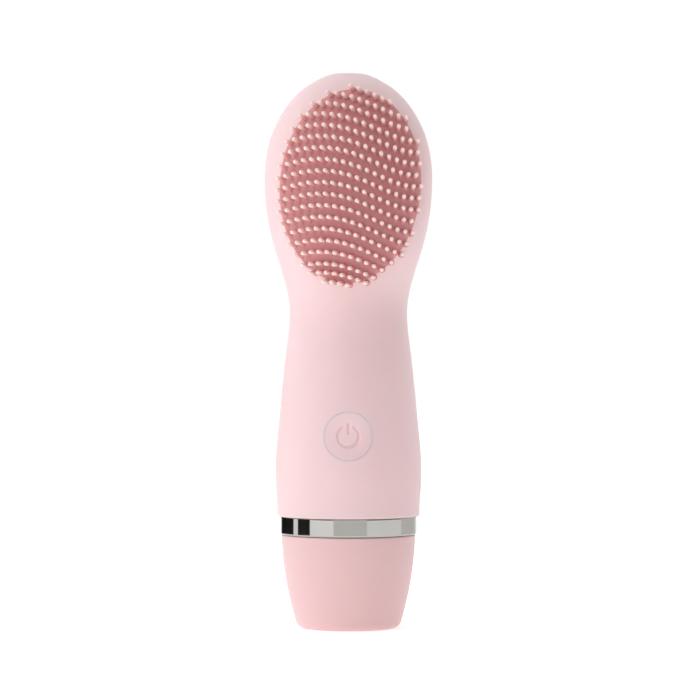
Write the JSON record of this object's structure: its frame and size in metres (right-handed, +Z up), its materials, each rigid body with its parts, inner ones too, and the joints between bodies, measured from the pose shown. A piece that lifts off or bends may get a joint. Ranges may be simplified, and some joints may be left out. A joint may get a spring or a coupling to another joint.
{
  "type": "facial cleansing brush",
  "caption": "Upright handheld face brush: spoon-shaped silicone head with a bristle dome, round waisted grip with a push button, chrome trim ring and pull-off battery cap.",
  "frame": {"origin": "middle of the flat base that the brush stands on", "axes": "+Z up along the handle, -Y the side with the bristles and the button, +X to the right seen from the front"},
  "size_m": [0.0421, 0.044, 0.14],
  "materials": {
    "skin_silicone": "silky matte pale pink silicone",
    "pad_silicone": "deeper rose silicone between the bristles",
    "bristle_silicone": "soft translucent pink silicone",
    "inner_plastic": "moulded ABS, off white",
    "screw_steel": "zinc plated",
    "seal_rubber": "black nitrile",
    "cell_wrap": "plain dark sleeve over a steel can",
    "contact_metal": "nickel plated spring steel",
    "trim_chrome": "polished chrome plating",
    "switch_plastic": "black moulded plastic",
    "board_laminate": "green solder mask on laminate",
    "motor_steel": "plated steel",
    "end_cap_plastic": "natural nylon",
    "weight_metal": "sintered alloy",
    "lead_jacket": "PVC jacket"
  },
  "bodies": {
    "handle": {"silicone_skin": "skin_silicone", "bristle_pad": "pad_silicone", "bristles": "bristle_silicone", "rear_housing": "inner_plastic", "front_housing": "inner_plastic", "housing_screws": "screw_steel", "board_screws": "screw_steel", "battery_holder": "inner_plastic", "seal_ring": "seal_rubber", "battery_cell": "cell_wrap", "positive_contact": "contact_metal", "negative_strip": "contact_metal", "trim_ring": "trim_chrome", "tact_switch": "switch_plastic", "circuit_board": "board_laminate", "driver_chip": "switch_plastic", "motor_can": "motor_steel", "motor_end_cap": "end_cap_plastic", "motor_sleeve": "seal_rubber", "motor_leads": "lead_jacket", "battery_leads": "lead_jacket"},
    "cap": {"base_cap": "skin_silicone", "cap_core": "inner_plastic", "cap_contact": "contact_metal", "negative_spring": "contact_metal"},
    "button": {"power_button": "skin_silicone", "button_stem": "inner_plastic"},
    "plunger": {"switch_plunger": "switch_plastic"},
    "rotor": {"motor_shaft": "motor_steel", "eccentric_weight": "weight_metal"}
  },
  "joints": [
    {"name": "cap_pull", "type": "slide", "parent": "handle", "child": "cap", "axis": [0, 0, -1], "range_m": [0, 0.03]},
    {"name": "button_press", "type": "slide", "parent": "handle", "child": "button", "axis": [0, 1, 0], "range_m": [0, 0.0003], "stiffness_N_per_m": 1500, "springref_m": -0.0002},
    {"name": "switch_click", "type": "slide", "parent": "handle", "child": "plunger", "axis": [0, 1, 0], "range_m": [0, 0.0003]},
    {"name": "motor_spin", "type": "hinge", "parent": "handle", "child": "rotor", "pos_m": [0, -0.0035, 0.117], "axis": [0, 0, 1], "continuous": true}
  ],
  "couplings": [
    {"joint": "switch_click", "follows": "button_press", "ratio": 1}
  ]
}
